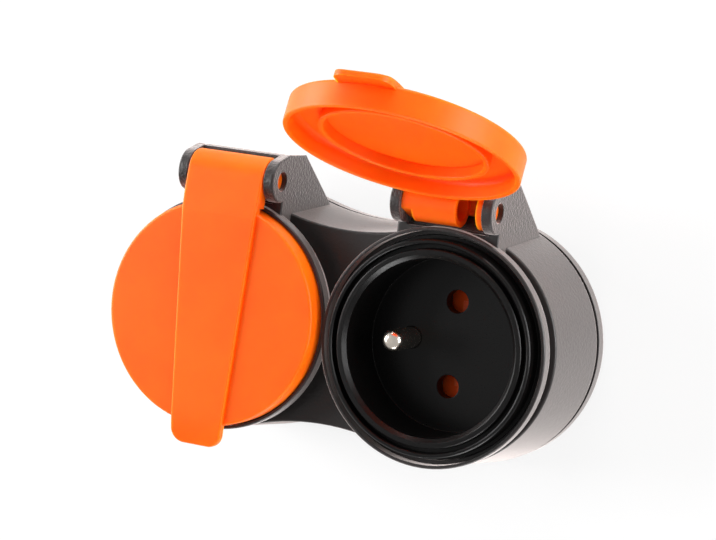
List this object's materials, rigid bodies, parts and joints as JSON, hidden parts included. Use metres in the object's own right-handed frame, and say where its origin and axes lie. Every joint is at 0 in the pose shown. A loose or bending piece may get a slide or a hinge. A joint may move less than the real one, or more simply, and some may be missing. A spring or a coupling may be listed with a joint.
{
  "type": "outdoor extension socket",
  "caption": "Black figure-eight outdoor socket block with earth-pin cups, ringed rims and orange hinged splash lids, one closed and one open.",
  "frame": {"origin": "middle of the flat back face, midway between the two cups", "axes": "+Z along the socket axes towards the plugs, +X along the row of cups, +Y towards the hinges"},
  "size_m": [0.1124, 0.0885, 0.0889],
  "materials": {
    "housing_black": "moulded, fine spark-eroded grain",
    "insert_black": "moulded, satin",
    "lid_orange": "moulded, satin",
    "shutter_orange": "moulded, satin",
    "carrier_grey": "moulded, matte",
    "rubber_black": "matte",
    "brass": "stamped",
    "nickel": "nickel-plated, satin",
    "zinc_steel": "zinc-plated",
    "spring_steel": "bright"
  },
  "bodies": {
    "housing": {"front_housing": "housing_black", "back_cover": "housing_black", "cover_gasket": "rubber_black", "cover_screws": "zinc_steel", "left_socket_insert": "insert_black", "right_socket_insert": "insert_black", "left_shutter_spring": "spring_steel", "right_shutter_spring": "spring_steel", "left_contact_carrier": "carrier_grey", "right_contact_carrier": "carrier_grey", "carrier_screws": "zinc_steel", "line_busbar": "brass", "neutral_busbar": "brass", "earth_busbar": "brass", "left_earth_pin": "nickel", "right_earth_pin": "nickel", "terminal_screws": "zinc_steel", "cable_grommet": "rubber_black", "cord_clamp": "carrier_grey", "clamp_screws": "zinc_steel"},
    "left_lid": {"left_lid": "lid_orange"},
    "right_lid": {"right_lid": "lid_orange"},
    "left_shutter": {"left_shutter": "shutter_orange"},
    "right_shutter": {"right_shutter": "shutter_orange"}
  },
  "joints": [
    {"name": "left_lid_hinge", "type": "hinge", "parent": "housing", "child": "left_lid", "pos_m": [-0.026, 0.031, 0.0342], "axis": [-1, 0, 0], "range_deg": [0, 112]},
    {"name": "right_lid_hinge", "type": "hinge", "parent": "housing", "child": "right_lid", "pos_m": [0.026, 0.031, 0.0342], "axis": [1, 0, 0], "range_deg": [0, 112]},
    {"name": "left_shutter_slide", "type": "slide", "parent": "housing", "child": "left_shutter", "axis": [1, 0, 0], "range_m": [0, 0.0058], "stiffness_N_per_m": 100, "springref_m": -0.004, "deforming": ["left_shutter_spring"]},
    {"name": "right_shutter_slide", "type": "slide", "parent": "housing", "child": "right_shutter", "axis": [1, 0, 0], "range_m": [0, 0.0058], "stiffness_N_per_m": 100, "springref_m": -0.004, "deforming": ["right_shutter_spring"]}
  ]
}
